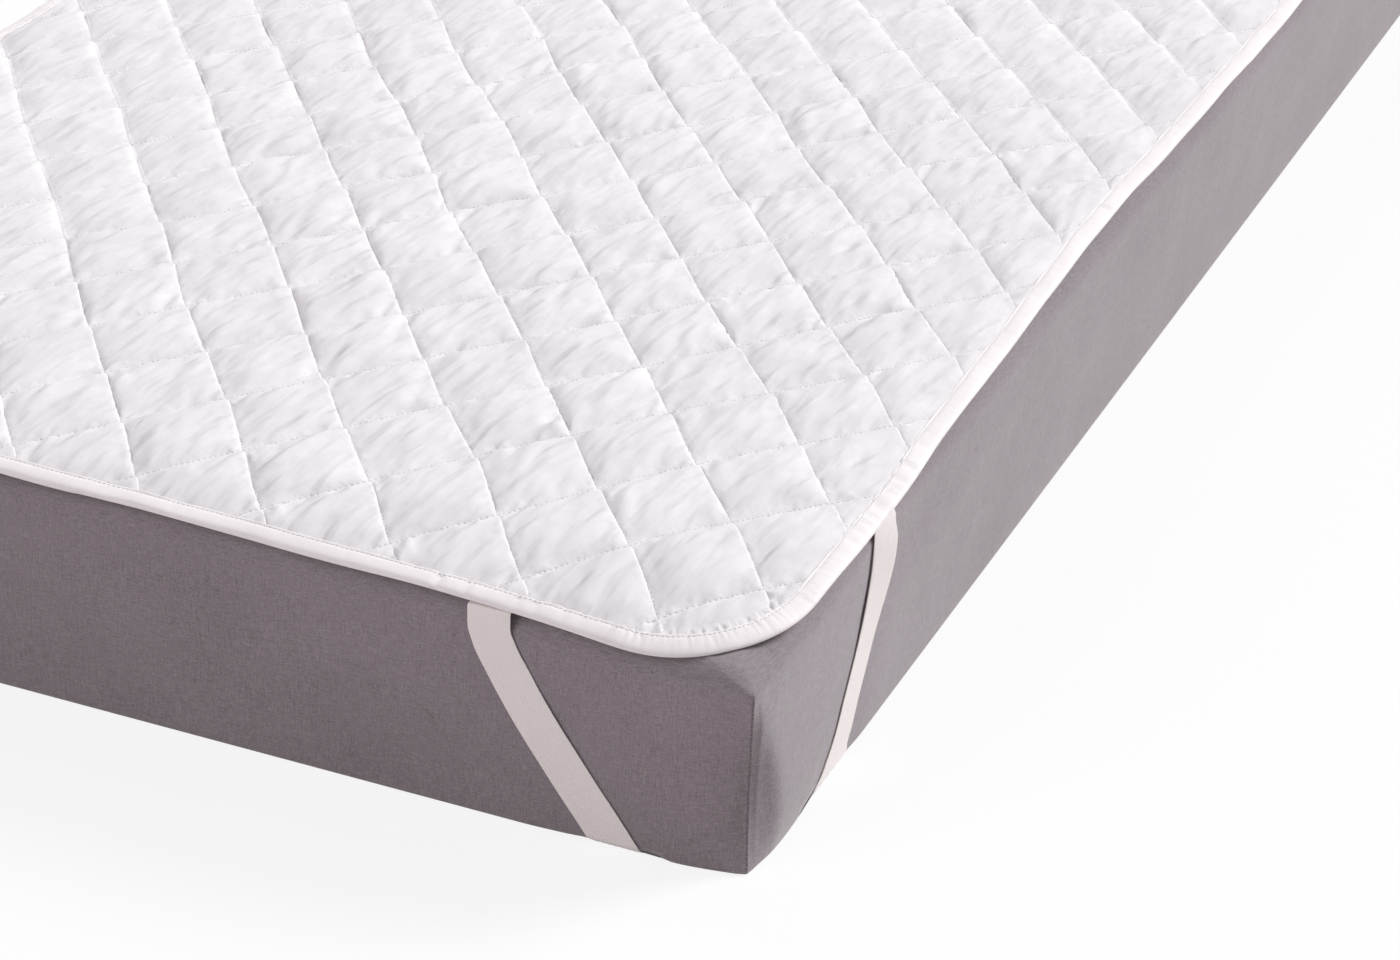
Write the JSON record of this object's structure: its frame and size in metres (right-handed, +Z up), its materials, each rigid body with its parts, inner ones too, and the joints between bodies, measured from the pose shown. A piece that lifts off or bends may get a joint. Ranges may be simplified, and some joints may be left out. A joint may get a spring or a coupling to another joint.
{
  "type": "quilted mattress protector with corner elastics on a plain mattress",
  "caption": "Diamond-quilted mattress protector with a bound edge, held on a plain grey mattress by an elastic strap under each corner.",
  "frame": {"origin": "on the floor under the middle of the mattress", "axes": "+X across the bed, +Y along the bed, +Z up through the mattress"},
  "size_m": [0.9068, 2.0068, 0.1694],
  "materials": {
    "mattress_cover": "matt mid-grey woven cotton cover",
    "quilt_cloth": "white microfibre cloth with a low sheen, quilted in diamonds",
    "binding_tape": "smooth warm white folded tape",
    "elastic": "off-white woven elastic with fine lengthwise ribs"
  },
  "bodies": {
    "root": {"mattress": "mattress_cover", "quilted_pad": "quilt_cloth", "edge_binding": "binding_tape", "corner_elastic_front_right": "elastic", "corner_elastic_front_left": "elastic", "corner_elastic_back_right": "elastic", "corner_elastic_back_left": "elastic"}
  },
  "joints": []
}
